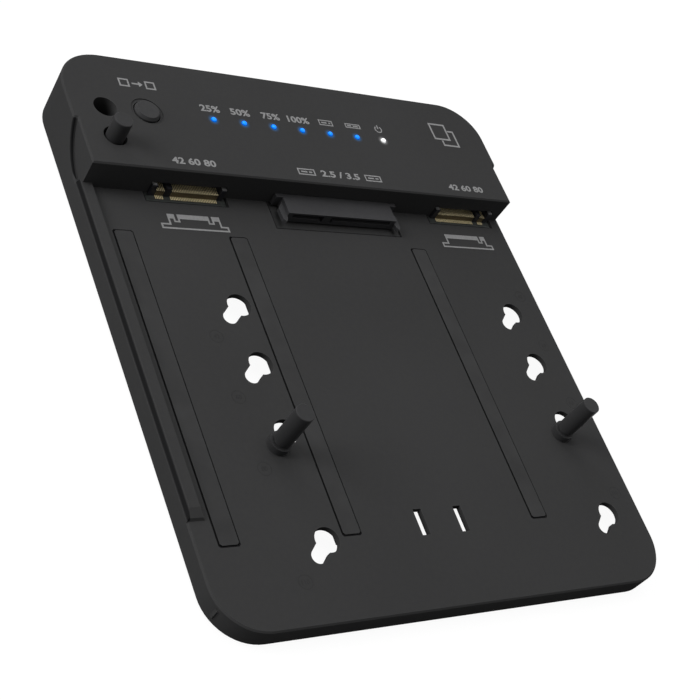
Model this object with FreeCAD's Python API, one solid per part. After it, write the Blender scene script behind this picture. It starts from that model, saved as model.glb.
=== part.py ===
import FreeCAD, Part
import math
import os

# Docking plate that copies one drive to another. A thin deck with keyholes for
# drive posts runs to the front, and a raised housing at the back holds the board,
# the sockets, the key and the lights. X is to the right, Y to the rear, Z up.
# The origin lies under the middle of the case, on the surface that the feet touch.

V = FreeCAD.Vector

# Driving dimensions, in millimetres
case_width = 141.0
case_depth = 163.5
case_corner_radius = 13.0
edge_break = 0.4
foot_height = 1.0
skirt_height = 6.0
housing_rise = 9.0
deck_thickness = 1.6
wall = 2.0
housing_depth = 38.55
side_inset = 1.2
sweep_start = 1.3
sweep_length = 13.5

# Keyholes: the pitches are the steps between the standard module lengths
module_lengths = [42.0, 60.0, 80.0, 110.0]
used_keyhole = 2
left_column_inset = 30.75
right_column_inset = 16.15
first_keyhole_gap = 39.9
keyhole_slot_radius = 1.95
keyhole_head_radius = 3.4
keyhole_travel = 4.0

# Drive posts
post_foot_radius = 3.0
post_foot_height = 1.2
post_ring_height = 2.0
post_groove_radius = 1.9
post_groove_height = 0.95
post_shaft_radius = 2.5
post_stand_height = 14.6
post_chamfer = 0.15
post_neck_clearance = 0.2
post_foot_clearance = 0.15
post_ring_clearance = 0.1

# Rail and grip strips
rail_rise = 1.5
rail_width = 4.6
rail_slope = 0.9
rail_end_gap = 96.4
rail_ramp = 2.8
rail_ramp_foot = 0.5
rail_ramp_step = 0.8
strip_width = 5.0
strip_length = 89.3
strip_height = 1.1
strip_pocket_depth = 1.0
strip_side_gap = 0.25
strip_corner_cut = 0.5
strip_front_gap = 103.0
strip_insets = [8.78, 42.3]
right_strip_inset = 37.85
strip_pad_drop = 1.0
strip_pad_side = 1.0

# Stiffening under the deck
rib_width = 1.4
rib_drop = 2.8
rib_gaps = [117.2, 90.2, 65.0, 26.7]

# Two latch windows near the front edge
latch_width = 2.5
latch_length = 7.3
latch_spacing = 12.8
latch_rear_gap = 97.8

# Storage wells for spare posts
well_inset = 10.0
well_pitch = 9.95
well_radius = 3.2
well_wall = 1.2
well_floor = 0.8
spare_stands_proud = 6.0
spare_foot_gap = 0.1

# Board
board_thickness = 1.6
board_drop = 0.4
board_gap = 0.6
board_corner_inset = 14.5
board_corner_rear = 13.25
board_left_inset = 15.5
board_right_inset = 4.5
board_depth = 31.0
board_tongue_gap = 0.3
board_screw_hole = 1.35
board_screw_length = 3.4
board_screw_front = 32.25
board_screw_rear = 8.5
board_screw_front_x = [-21.5, 35.5]
board_screw_left_inset = 19.5
board_screw_right_inset = 23.5

# Sockets for modules
socket_width = 21.9
socket_depth = 8.7
socket_height = 4.2
socket_reach = 0.8
socket_jaw_height = 1.95
socket_end_width = 1.5
socket_end_height = 3.7
socket_mouth_height = 1.0
socket_mouth_depth = 4.0
contact_pitch = 0.5
contact_count = 37
contact_width = 0.28
contact_thick = 0.15
contact_tail = 1.15
contact_seat = 1.6
tab_width = 1.3
tab_depth = 1.6
tab_thick = 0.2
b_key_count_before = 5
m_key_count_before = 29
key_contacts = 4
pocket_side = 1.25
pocket_reach = 2.25
socket_window_gap = 0.2

# Drive receptacle
receptacle_x = 7.0
receptacle_width = 41.0
receptacle_depth = 15.5
receptacle_reach = 6.7
receptacle_height = 4.0
shroud_width = 36.8
shroud_lift = 0.7
flange_reach = 1.2
wing_reach = 1.8
wing_lift = 0.9
wing_height = 1.3
wing_rear = 5.4
wing_shoulder = 2.6
wing_front = 2.1
wing_round = 0.9
data_slot = 10.4
power_slot = 20.7
slot_divider = 2.4
slot_height = 1.3
slot_depth = 5.0
slot_lip = 0.6
slot_leg = 0.9
blade_pitch = 1.27
blade_width = 0.8
blade_thick = 0.25
blade_length = 3.6
data_blades = 7
power_blades = 15
tray_side = 0.9
tray_reach = 2.5
tray_depth = 0.5

# Row of lights and the key
feature_row_rear = 19.0
light_count = 7
light_pitch = 9.56
light_radius = 0.9
light_block = 2.6
light_clearance = 0.1
chip_led = 1.6
chip_led_height = 0.8
light_led_gap = 0.3
key_inset = 21.9
key_radius = 3.5
key_clearance = 0.3
key_shoulder = 0.5
key_shoulder_drop = 0.8
key_rise = 0.9
key_travel = 1.0
key_flange_radius = 4.6
key_flange_thick = 0.8
key_dish_radius = 4.6
key_dish_depth = 0.25
key_stem_radius = 1.5
switch_size = 6.0
switch_height = 3.4
switch_plunger_radius = 1.5
switch_plunger_rise = 1.4
switch_plunger_hold = 0.9
switch_bore_gap = 0.15
switch_end_gap = 0.2

# Rear panel
panel_width = 62.0
panel_height = 11.4
panel_recess = 1.2
usb_x = -4.0
usb_width = 8.94
usb_height = 3.26
usb_depth = 7.4
usb_shell = 0.3
usb_tongue_thick = 0.7
usb_tongue_side = 1.1
jack_x = -20.0
jack_width = 9.0
jack_height = 8.6
jack_depth = 12.0
jack_drop = 2.4
jack_bore = 2.8
jack_bore_depth = 9.5
jack_pin = 1.05
jack_pin_gap = 0.4
panel_gap = 0.2
rocker_x = 17.0
rocker_width = 11.6
rocker_height = 7.4
rocker_bezel = 1.0
rocker_body_depth = 10.0
rocker_gap = 0.25
rocker_wall = 0.75
rocker_cavity = 5.2
rocker_pivot_radius = 0.8
rocker_pivot_gap = 0.05
rocker_pivot_depth = 2.2
rocker_pivot_reach = 0.55
rocker_tilt = 7.0
rocker_half_length = 4.6
rocker_front = 2.0
rocker_back = 1.8
rocker_heel = 1.2
rocker_shoulder = 0.6

# Lower cover and fasteners
cover_thickness = 1.5
cover_recess = 0.3
cover_gap = 0.2
cover_front_gap = 19.2
cover_lip = 1.4
boss_half = 2.7
boss_pilot = 1.1
pillar_half = 2.4
screw_head_radius = 2.3
screw_head_height = 0.8
screw_shank_radius = 1.0
screw_length = 5.0
screw_clearance = 0.15
case_screw_gap = 10.2
case_screw_rear = 8.75
case_screw_insets = [17.5, 20.5, 10.0, 10.5]
vent_count = 9
vent_pitch = 5.0
vent_width = 1.8
vent_length = 22.0
vent_center_x = 8.0
vent_center_rear = 21.75
foot_radius = 5.0
foot_inset = 12.5
foot_front_inset = 8.75
foot_rear_inset = 20.75
foot_seat = 0.3
foot_seat_gap = 0.1
foot_pad_wall = 1.0

# Parts on the board
controller_size = 7.5
controller_height = 1.0
controller_x = 12.0
controller_rear = 24.6
bridge_x = 38.0
flash_width = 5.0
flash_depth = 6.0
flash_height = 1.6
flash_x = 5.0
flash_rear = 13.25
inductor_size = 6.0
inductor_height = 3.0
inductor_rear = 11.5
inductor_columns = [-38.5, -31.5, 38.0]
can_radius = 2.5
can_height = 5.4
can_rear = 25.2
can_columns = [-34.0, -41.0, 50.5]
crystal_width = 5.0
crystal_depth = 3.2
crystal_height = 0.9
crystal_x = -20.0

# Levels and lines that follow from the sizes above
rim_z = foot_height
deck_z = rim_z + skirt_height
under_deck_z = deck_z - deck_thickness
top_z = deck_z + housing_rise
roof_z = top_z - wall
half_width = case_width / 2
half_depth = case_depth / 2
step_y = half_depth - housing_depth
cover_bottom_z = rim_z + cover_recess
cover_top_z = cover_bottom_z + cover_thickness
board_top_z = deck_z - board_drop
board_bottom_z = board_top_z - board_thickness
board_front_y = step_y + wall + board_gap
board_rear_y = board_front_y + board_depth
left_column_x = left_column_inset - half_width
right_column_x = half_width - right_column_inset
first_keyhole_y = step_y - first_keyhole_gap
keyhole_columns = [left_column_x, right_column_x]
keyhole_rows = [first_keyhole_y - (length - module_lengths[0]) for length in module_lengths]
used_row_y = keyhole_rows[used_keyhole]
rail_end_y = step_y - rail_end_gap
strip_front_y = step_y - strip_front_gap
strip_columns = [inset - half_width for inset in strip_insets] + [half_width - right_strip_inset]
cross_ribs_y = [step_y - gap for gap in rib_gaps]
latch_rear_y = step_y - latch_rear_gap
feature_row_y = half_depth - feature_row_rear
well_x = well_inset - half_width
well_front_y = feature_row_y - well_pitch
key_x = key_inset - half_width
board_corner_x = half_width - board_corner_inset
board_corner_y = half_depth - board_corner_rear
board_left_x = board_left_inset - half_width
board_right_x = half_width - board_right_inset
board_screws = [(x, half_depth - board_screw_front) for x in board_screw_front_x]
board_screws.append((board_screw_left_inset - half_width, half_depth - board_screw_rear))
board_screws.append((half_width - board_screw_right_inset, half_depth - board_screw_rear))
cover_front_y = step_y - cover_front_gap
case_screws = [(case_screw_insets[0] - half_width, step_y - case_screw_gap),
               (half_width - case_screw_insets[1], step_y - case_screw_gap),
               (case_screw_insets[2] - half_width, half_depth - case_screw_rear),
               (half_width - case_screw_insets[3], half_depth - case_screw_rear)]
vent_center_y = half_depth - vent_center_rear
foot_x = half_width - foot_inset
foot_front_y = foot_front_inset - half_depth
foot_rear_y = half_depth - foot_rear_inset
controller_y = half_depth - controller_rear
inductor_y = half_depth - inductor_rear
can_y = half_depth - can_rear


def box(x0, x1, y0, y1, z0, z1):
    return Part.makeBox(x1 - x0, y1 - y0, z1 - z0, V(x0, y0, z0))


def cylinder(x, y, radius, z0, z1):
    return Part.makeCylinder(radius, z1 - z0, V(x, y, z0))


def rounded_block(x0, x1, y0, y1, z0, z1, radius):
    block = box(x0, x1, y0, y1, z0, z1)
    upright = [e for e in block.Edges if abs(e.Vertexes[0].Z - e.Vertexes[1].Z) > 0.5 * (z1 - z0)]
    return block.makeFillet(radius, upright)


def prism(x, y, radius, z0, z1, sides=12):
    """Upright block with that many sides, its corners on the radius. It serves small bores and pins."""
    turns = [2 * math.pi * i / sides for i in range(sides)]
    corners = [(x + radius * math.cos(a), y + radius * math.sin(a), z0) for a in turns]
    return extruded(corners, (0, 0, z1 - z0))


def cut_corner_block(x0, x1, y0, y1, z0, z1, cut):
    block = box(x0, x1, y0, y1, z0, z1)
    upright = [e for e in block.Edges if abs(e.Vertexes[0].Z - e.Vertexes[1].Z) > 0.5 * (z1 - z0)]
    return block.makeChamfer(cut, upright)


def extruded(points, direction):
    wire = Part.makePolygon([V(*p) for p in points + points[:1]])
    return Part.Face(wire).extrude(V(*direction))


def turned(profile, x, y, z):
    """Revolves a list of (radius, height) corners about the upright line at x, y."""
    wire = Part.makePolygon([V(r, 0, h) for r, h in profile + profile[:1]])
    solid = Part.Face(wire).revolve(V(0, 0, 0), V(0, 0, 1), 360)
    solid.translate(V(x, y, z))
    return solid


def joined(shapes):
    return shapes[0].fuse(shapes[1:]).removeSplitter() if len(shapes) > 1 else shapes[0]


def save(name, shapes):
    shape = shapes[0] if len(shapes) == 1 else Part.makeCompound(shapes)
    shape.exportStep("parts/" + name + ".step")
    print(name, len(shape.Solids), shape.isValid(), round(shape.Volume, 1))


def case_outline(inset, z0, z1, side=0.0):
    """The case's plan, pulled in by inset all round and by side on the left and right."""
    half_x = half_width - inset - side
    half_y = half_depth - inset
    return rounded_block(-half_x, half_x, -half_y, half_y, z0, z1, case_corner_radius - inset - side / 2)


def keyhole(x, y, z0, z1):
    """Slot end at x, y, where a post stands, with its wide head to the rear right."""
    head_x = x + keyhole_travel
    head_y = y + keyhole_travel
    head = cylinder(head_x, head_y, keyhole_head_radius, z0, z1)
    end = cylinder(x, y, keyhole_slot_radius, z0, z1)
    c = keyhole_slot_radius * math.sqrt(0.5)
    corners = [(x - c, y + c, z0), (x + c, y - c, z0)]
    corners += [(head_x + c, head_y - c, z0), (head_x - c, head_y + c, z0)]
    return joined([head, end, extruded(corners, (0, 0, z1 - z0))])


def side_sweep():
    """Side view of the full-width rear part: an arc lifts it from the deck line to the top."""
    y0 = step_y + sweep_start
    y1 = y0 + sweep_length
    radius = (sweep_length ** 2 + housing_rise ** 2) / (2 * housing_rise)
    turn = math.asin(sweep_length / radius) / 2
    middle = V(-half_width, y0 + radius * math.sin(turn), deck_z + radius * (1 - math.cos(turn)))
    start = V(-half_width, y0, deck_z)
    end = V(-half_width, y1, top_z)
    arc = Part.Arc(start, middle, end).toShape()
    below = V(-half_width, y0, deck_z - 1)
    rear_top = V(-half_width, half_depth, top_z)
    rear_low = V(-half_width, half_depth, deck_z - 1)
    lines = [Part.makeLine(end, rear_top), Part.makeLine(rear_top, rear_low)]
    lines += [Part.makeLine(rear_low, below), Part.makeLine(below, start)]
    return Part.Face(Part.Wire([arc] + lines)).extrude(V(case_width, 0, 0))


def rail():
    """Raised guide along the left edge, with a sloped inner side and a ramp at its front end."""
    left = -half_width
    right = left + rail_width
    top = deck_z + rail_rise
    rear = step_y + wall / 2
    low = deck_z - deck_thickness / 2
    section = [(left, rear, low), (left, rear, deck_z), (left + rail_slope, rear, top),
               (right - rail_slope, rear, top), (right, rear, deck_z), (right, rear, low)]
    body = extruded(section, (0, rail_end_y - rear, 0))
    ramp = [(left - 1, rail_end_y - 1, deck_z), (left - 1, rail_end_y, deck_z),
            (left - 1, rail_end_y + rail_ramp_foot, top - rail_ramp_step),
            (left - 1, rail_end_y + rail_ramp, top + 0.01), (left - 1, rail_end_y - 1, top + 0.01)]
    return body.cut(extruded(ramp, (rail_width + 2, 0, 0)))


# Top cover: deck, rail, skirt and housing in one moulding
def outer_form():
    low = case_outline(0, rim_z, deck_z)
    behind = box(-case_width, case_width, step_y, case_depth, deck_z - 1, top_z + 1)
    inset_part = case_outline(0, deck_z - 1, top_z, side_inset).common(behind)
    full_part = case_outline(0, deck_z - 1, top_z).common(side_sweep())
    form = joined([low, inset_part, full_part])
    rim = []
    for edge in form.Edges:
        lowest = min(v.Z for v in edge.Vertexes)
        highest = max(v.Z for v in edge.Vertexes)
        front = max(v.Y for v in edge.Vertexes) < step_y + 0.01
        if lowest > top_z - 0.01:
            rim.append(edge)
        elif lowest > deck_z - 0.01 and highest < deck_z + 0.01 and front and edge.BoundBox.YMin < step_y - 1:
            rim.append(edge)
    return form.makeChamfer(edge_break, rim)


def deck_cavity():
    """The hollow under the deck and inside the housing."""
    low = case_outline(wall, rim_z - 1, under_deck_z)
    behind = box(-case_width, case_width, step_y + wall, case_depth, under_deck_z - 1, roof_z)
    high = case_outline(wall, under_deck_z - 1, roof_z, side_inset).common(behind)
    return joined([low, high])


def strip_pockets(z0, z1):
    pockets = []
    for x in strip_columns:
        half = strip_width / 2 + strip_side_gap
        front = strip_front_y - strip_side_gap
        rear = strip_front_y + strip_length + strip_side_gap
        pockets.append(cut_corner_block(x - half, x + half, front, rear, z0, z1, strip_corner_cut))
    return pockets


latch_columns = [-latch_spacing / 2, latch_spacing / 2]
cover_rear_y = half_depth - wall - cover_gap
boss_roofs = [under_deck_z if y < step_y else roof_z for x, y in case_screws]
well_rows = [well_front_y, well_front_y + well_pitch]
post_height = post_stand_height + deck_thickness + post_foot_clearance + post_foot_height
well_floor_z = top_z + spare_stands_proud - post_height - spare_foot_gap
well_bottom_z = well_floor_z - well_floor
half_socket = socket_width / 2
key_top_z = top_z + key_rise
panel_mid_z = (cover_top_z + top_z) / 2 - 0.6
panel_y = half_depth - panel_recess
light_columns = [(i - (light_count - 1) / 2) * light_pitch for i in range(light_count)]

solid = outer_form()
solid = joined([solid, rail()])
solid = solid.cut(deck_cavity())

adds = []
for x in strip_columns:
    half = strip_width / 2 + strip_side_gap + strip_pad_side
    rear = strip_front_y + strip_length + strip_side_gap + strip_pad_side
    adds.append(box(x - half, x + half, strip_front_y - strip_side_gap - strip_pad_side, rear,
                    under_deck_z - strip_pad_drop, under_deck_z + 0.2))
for y in cross_ribs_y:
    half = rib_width / 2
    rib_end = half_width - wall / 2
    adds.append(box(-rib_end, rib_end, y - half, y + half, under_deck_z - rib_drop, under_deck_z + 0.2))
for (x, y), roof in zip(case_screws, boss_roofs):
    adds.append(box(x - boss_half, x + boss_half, y - boss_half, y + boss_half, cover_top_z, roof + 0.2))
half = well_radius + well_wall
adds.append(box(well_x - half, well_x + half, well_rows[0] - half, well_rows[-1] + half,
                well_bottom_z, roof_z + 0.2))
half = foot_radius + foot_pad_wall
for x in [-foot_x, foot_x]:
    pad = box(x - half, x + half, foot_front_y - half, foot_front_y + half, rim_z, under_deck_z + 0.2)
    adds.append(pad.common(case_outline(wall / 2, 0, deck_z)))
half = receptacle_width / 2 + tray_side + 1.0
tray_front_y = step_y - receptacle_reach - tray_reach
adds.append(box(receptacle_x - half, receptacle_x + half, tray_front_y - 1.0, step_y + wall,
                under_deck_z - strip_pad_drop, under_deck_z + 0.2))
solid = joined([solid] + adds)

cuts = strip_pockets(deck_z - strip_pocket_depth, deck_z + 1)
for x in keyhole_columns:
    for y in keyhole_rows:
        cuts.append(keyhole(x, y, rim_z, deck_z + 1))
for x in latch_columns:
    half = latch_width / 2
    cuts.append(box(x - half, x + half, latch_rear_y - latch_length, latch_rear_y, rim_z, deck_z + 1))
for (x, y), roof in zip(case_screws, boss_roofs):
    end_z = min(cover_bottom_z + screw_head_height + screw_length, roof) + 0.2
    cuts.append(prism(x, y, boss_pilot, cover_top_z - 1, end_z))
for x in [-foot_x, foot_x]:
    cuts.append(prism(x, foot_front_y, foot_radius + foot_seat_gap, rim_z - 1, rim_z + foot_seat, 24))
for y in well_rows:
    cuts.append(cylinder(well_x, y, well_radius, well_floor_z, top_z + 1))
for x in keyhole_columns:
    half = half_socket + pocket_side
    front = step_y - socket_reach - pocket_reach
    cuts.append(box(x - half, x + half, front, step_y + wall + 1, rim_z, board_top_z + socket_window_gap))
    cuts.append(box(x - half, x + half, front, step_y, rim_z, deck_z + 1))
    half = half_socket + socket_window_gap
    window_z = board_top_z + socket_height + socket_window_gap
    cuts.append(box(x - half, x + half, front, step_y + wall + 1, board_top_z, window_z))
half = receptacle_width / 2 + tray_side
cuts.append(box(receptacle_x - half, receptacle_x + half, tray_front_y, step_y + 0.01,
                deck_z - tray_depth, deck_z + 1))
half = receptacle_width / 2 + socket_window_gap
cuts.append(box(receptacle_x - half, receptacle_x + half, tray_front_y, step_y + wall + 1,
                deck_z - tray_depth, board_top_z + receptacle_height + socket_window_gap))
for x in light_columns:
    cuts.append(prism(x, feature_row_y, light_radius + light_clearance, roof_z - 1, top_z + 1))
cuts.append(cylinder(key_x, feature_row_y, key_radius + key_clearance, roof_z - 1, top_z + 1))
cuts.append(cylinder(key_x, feature_row_y, key_dish_radius, top_z - key_dish_depth, top_z + 1))
half = panel_width / 2
panel_z0 = panel_mid_z - panel_height / 2
panel_z1 = panel_mid_z + panel_height / 2
cuts.append(rounded_block(-half, half, panel_y, half_depth + 1, panel_z0, panel_z1, 0.1))

# The three inlets pass through the recessed rear panel
usb_z0 = board_top_z
half = usb_width / 2 + panel_gap
cuts.append(box(usb_x - half, usb_x + half, half_depth - wall - 1, half_depth + 1,
                usb_z0 - panel_gap, usb_z0 + usb_height + panel_gap))
jack_z0 = board_top_z - jack_drop
half = jack_width / 2 + panel_gap
cuts.append(box(jack_x - half, jack_x + half, half_depth - wall - 1, half_depth + 1,
                jack_z0 - panel_gap, jack_z0 + jack_height + panel_gap))
half = rocker_width / 2 + rocker_bezel / 2
half_tall = rocker_height / 2 + rocker_bezel / 2
cuts.append(box(rocker_x - half, rocker_x + half, half_depth - wall - 1, half_depth + 1,
                panel_mid_z - half_tall, panel_mid_z + half_tall))
top_cover = solid.cut(cuts)

# Lower cover: closes the electronics from below and carries the board
plate = case_outline(wall + cover_gap, cover_bottom_z, cover_top_z)
plate = plate.common(box(-case_width, case_width, cover_front_y, case_depth, 0, deck_z))
lip_top_z = under_deck_z - strip_pad_drop - cover_gap
lip_half = half_width - wall - cover_gap - case_corner_radius
lip = box(-lip_half, lip_half, cover_front_y, cover_front_y + cover_lip, cover_bottom_z, lip_top_z)
pillars = []
for x, y in board_screws:
    pillars.append(box(x - pillar_half, x + pillar_half, y - pillar_half, y + pillar_half,
                       cover_bottom_z, board_bottom_z))
plate = joined([plate, lip] + pillars)
cuts = []
for x, y in case_screws:
    cuts.append(prism(x, y, screw_shank_radius + screw_clearance, 0, deck_z))
    cuts.append(prism(x, y, screw_head_radius + 2 * screw_clearance, 0, cover_bottom_z + screw_head_height, 20))
for x, y in board_screws:
    cuts.append(prism(x, y, boss_pilot, board_top_z - board_screw_length - 0.4, deck_z))
for i in range(vent_count):
    x = vent_center_x + (i - (vent_count - 1) / 2) * vent_pitch
    half = vent_width / 2
    reach = vent_length / 2
    cuts.append(box(x - half, x + half, vent_center_y - reach, vent_center_y + reach, 0, deck_z))
for x in [-foot_x, foot_x]:
    cuts.append(prism(x, foot_rear_y, foot_radius + foot_seat_gap, 0, cover_bottom_z + foot_seat, 24))
lower_cover = plate.cut(cuts)

# Board: tongues reach forward through the deck to carry the module sockets
board = box(board_left_x, board_right_x, board_front_y, board_rear_y, board_bottom_z, board_top_z)
tongue_front_y = step_y - socket_reach - pocket_reach + board_tongue_gap
tongues = []
for x in keyhole_columns:
    half = half_socket + pocket_side - board_tongue_gap
    tongues.append(box(x - half, x + half, tongue_front_y, board_front_y + 1, board_bottom_z, board_top_z))
board = joined([board] + tongues)
cuts = [prism(x, y, board_screw_hole, board_bottom_z - 1, board_top_z + 1) for x, y in board_screws]
for x, y in case_screws:
    half = boss_half + board_gap
    cuts.append(box(x - half, x + half, y - half, y + half, board_bottom_z - 1, board_top_z + 1))
cuts.append(box(board_corner_x, case_width, board_corner_y, case_depth, 0, deck_z))
half = jack_width / 2 + board_gap
cuts.append(box(jack_x - half, jack_x + half, panel_y - jack_depth - board_gap, half_depth, 0, deck_z))
half = rocker_width / 2 + board_gap
cuts.append(box(rocker_x - half, rocker_x + half, panel_y - rocker_body_depth - board_gap, half_depth,
                0, deck_z))
main_board = board.cut(cuts)


def post(x, y, bottom_z):
    """Drive post: a foot that hooks under the deck, a ring on it, a groove for a module's edge."""
    neck = keyhole_slot_radius - post_neck_clearance
    deck_level = post_foot_height + post_foot_clearance + deck_thickness
    ring_low = deck_level + post_ring_clearance
    ring_top = ring_low + post_ring_height
    groove_top = ring_top + post_groove_height
    c = post_chamfer
    profile = [(0, ring_low), (post_foot_radius, ring_low), (post_foot_radius, ring_top),
               (post_groove_radius, ring_top), (post_groove_radius, groove_top), (post_shaft_radius, groove_top),
               (post_shaft_radius, post_height - c), (post_shaft_radius - c, post_height), (0, post_height)]
    foot = prism(x, y, post_foot_radius, bottom_z, bottom_z + post_foot_height)
    stem = prism(x, y, neck, bottom_z + post_foot_height / 2, bottom_z + ring_low + post_ring_height / 2)
    return joined([turned(profile, x, y, bottom_z), foot, stem])


post_bottom_z = under_deck_z - post_foot_clearance - post_foot_height
post_left = post(left_column_x, used_row_y, post_bottom_z)
post_right = post(right_column_x, used_row_y, post_bottom_z)
post_spare = post(well_x, well_front_y, well_floor_z + spare_foot_gap)

# Grip strips lie in their pockets and stand slightly proud
strip_floor_z = deck_z - strip_pocket_depth
strips = []
for x in strip_columns:
    half = strip_width / 2
    strips.append(cut_corner_block(x - half, x + half, strip_front_y, strip_front_y + strip_length,
                                   strip_floor_z, strip_floor_z + strip_height, strip_corner_cut))

# Feet
front_feet = [cylinder(x, foot_front_y, foot_radius, 0, rim_z + foot_seat) for x in [-foot_x, foot_x]]
rear_feet = [cylinder(x, foot_rear_y, foot_radius, 0, cover_bottom_z + foot_seat) for x in [-foot_x, foot_x]]


def socket_rows(x, first_skipped):
    """Places of the contacts in one row, with the key's places left free."""
    skipped = range(first_skipped, first_skipped + key_contacts)
    places = [i for i in range(contact_count) if i not in skipped]
    return [x + (i - (contact_count - 1) / 2) * contact_pitch for i in places]


def module_socket(x, first_skipped):
    """Edge socket: a low front jaw, raised ends, a mouth, and a rib where the key lies."""
    front = step_y - socket_reach
    rear = front + socket_depth
    jaw_z = board_top_z + socket_jaw_height - contact_thick
    body = box(x - half_socket, x + half_socket, front, rear, board_top_z, board_top_z + socket_height)
    inner = half_socket - socket_end_width
    mouth_top = jaw_z + contact_thick + socket_mouth_height
    face_y = front + contact_thick
    over_y = step_y + wall / 2
    open_front = box(x - inner, x + inner, front - 1, over_y, jaw_z, board_top_z + socket_height + 1)
    riser_room = box(x - inner, x + inner, front - 1, face_y, board_top_z - 1, jaw_z + 1)
    mouth = box(x - inner, x + inner, over_y - 1, front + contact_seat + socket_mouth_depth, jaw_z, mouth_top)
    ends = box(x - half_socket - 1, x + half_socket + 1, front - 1, over_y, board_top_z + socket_end_height,
               board_top_z + socket_height + 1)
    body = body.cut([open_front, riser_room, mouth, ends])
    key_x0 = x + (first_skipped - (contact_count - 1) / 2 - 0.5) * contact_pitch + 0.3
    key_x1 = key_x0 + key_contacts * contact_pitch - 0.6
    key = box(key_x0, key_x1, front, front + contact_seat + socket_mouth_depth, board_top_z, mouth_top)
    return joined([body, key])


def module_contacts(x, first_skipped):
    """Stepped terminals: a tail on the board, a riser up the jaw and a top that the module meets."""
    front = step_y - socket_reach
    z0 = board_top_z
    z1 = board_top_z + socket_jaw_height
    t = contact_thick
    end_y = front + contact_seat + socket_mouth_depth / 2
    side = [(front - contact_tail, z0), (front + t, z0), (front + t, z1 - t), (end_y, z1 - t),
            (end_y, z1), (front, z1), (front, z0 + t), (front - contact_tail, z0 + t)]
    contacts = []
    for place in socket_rows(x, first_skipped):
        low = place - contact_width / 2
        contacts.append(extruded([(low, y, z) for y, z in side], (contact_width, 0, 0)))
    return contacts


def socket_tabs(x):
    """Metal hold-downs on the two raised ends."""
    front = step_y - socket_reach
    z0 = board_top_z + socket_end_height
    tabs = []
    for side in [-1, 1]:
        middle = x + side * (half_socket - tab_width / 2)
        tabs.append(box(middle - tab_width / 2, middle + tab_width / 2, front + 0.2, front + 0.2 + tab_depth,
                        z0, z0 + tab_thick))
    return tabs


socket_left = module_socket(left_column_x, b_key_count_before)
socket_right = module_socket(right_column_x, m_key_count_before)
contacts_left = module_contacts(left_column_x, b_key_count_before)
contacts_right = module_contacts(right_column_x, m_key_count_before)

# Drive receptacle: a flange on the wall, a shroud with two slots, and a guide arm at each end
rx0 = receptacle_x - receptacle_width / 2
rx1 = receptacle_x + receptacle_width / 2
mate_y = step_y - receptacle_reach
rear_y = mate_y + receptacle_depth
receptacle_top_z = board_top_z + receptacle_height
shroud_z0 = deck_z - tray_depth + shroud_lift
back_block = box(rx0, rx1, board_front_y, rear_y, board_top_z, receptacle_top_z)
flange = box(rx0, rx1, step_y - flange_reach, board_front_y, shroud_z0, receptacle_top_z)
half = shroud_width / 2
shroud = box(receptacle_x - half, receptacle_x + half, mate_y, step_y, shroud_z0, receptacle_top_z)
wings = []
for side in [-1, 1]:
    edge = receptacle_x + side * shroud_width / 2
    plan = [(-0.4, wing_rear), (wing_reach, wing_shoulder), (wing_reach - 0.2, -wing_front + wing_round),
            (wing_round, -wing_front), (0.3, wing_round - wing_front), (-0.4, wing_round)]
    corners = [(edge + side * out, mate_y + back, shroud_z0 + wing_lift) for out, back in plan]
    wings.append(extruded(corners, (0, 0, wing_height)))
receptacle = joined([back_block, flange, shroud] + wings)
slots_width = data_slot + slot_divider + power_slot
slot_x0 = receptacle_x - slots_width / 2
slot_x1 = slot_x0 + data_slot
slot_x2 = slot_x1 + slot_divider
slot_x3 = slot_x2 + power_slot
slot_z1 = receptacle_top_z - slot_lip
slot_z0 = slot_z1 - slot_height
cuts = [box(slot_x0, slot_x1, mate_y - 1, mate_y + slot_depth, slot_z0, slot_z1),
        box(slot_x2, slot_x3, mate_y - 1, mate_y + slot_depth, slot_z0, slot_z1),
        box(slot_x1 - slot_leg, slot_x1, mate_y - 1, mate_y + slot_depth, slot_z0 - slot_leg, slot_z0 + 0.1),
        box(slot_x2, slot_x2 + slot_leg, mate_y - 1, mate_y + slot_depth, slot_z0 - slot_leg, slot_z0 + 0.1)]
receptacle = receptacle.cut(cuts)
blades = []
data_middle = slot_x0 + (data_slot - slot_leg) / 2
power_middle = slot_x2 + (power_slot + slot_leg) / 2
for middle, count in [(data_middle, data_blades), (power_middle, power_blades)]:
    for i in range(count):
        x = middle + (i - (count - 1) / 2) * blade_pitch
        half = blade_width / 2
        end_y = mate_y + slot_depth
        blades.append(box(x - half, x + half, end_y - blade_length, end_y, slot_z0, slot_z0 + blade_thick))

# Clone key and the push switch under it
switch_top_z = board_top_z + switch_height
plunger_top_z = switch_top_z + switch_plunger_rise
flange_z = roof_z - key_flange_thick
profile = [(0, flange_z), (key_flange_radius, flange_z), (key_flange_radius, roof_z), (key_radius, roof_z)]
profile += [(key_radius, key_top_z - key_shoulder_drop), (key_radius - key_shoulder, key_top_z), (0, key_top_z)]
cap = turned(profile, key_x, feature_row_y, 0)
stem = prism(key_x, feature_row_y, key_stem_radius, plunger_top_z, flange_z + key_flange_thick / 2)
clone_key = joined([cap, stem])
half = switch_size / 2
bore_z = switch_top_z - key_travel - switch_plunger_hold
clone_switch = box(key_x - half, key_x + half, feature_row_y - half, feature_row_y + half,
                   board_top_z, switch_top_z)
bore_radius = switch_plunger_radius + switch_bore_gap
clone_switch = clone_switch.cut(prism(key_x, feature_row_y, bore_radius, bore_z, switch_top_z + 1))
plunger_z0 = bore_z + key_travel + switch_end_gap
clone_plunger = prism(key_x, feature_row_y, switch_plunger_radius, plunger_z0, plunger_top_z)

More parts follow.
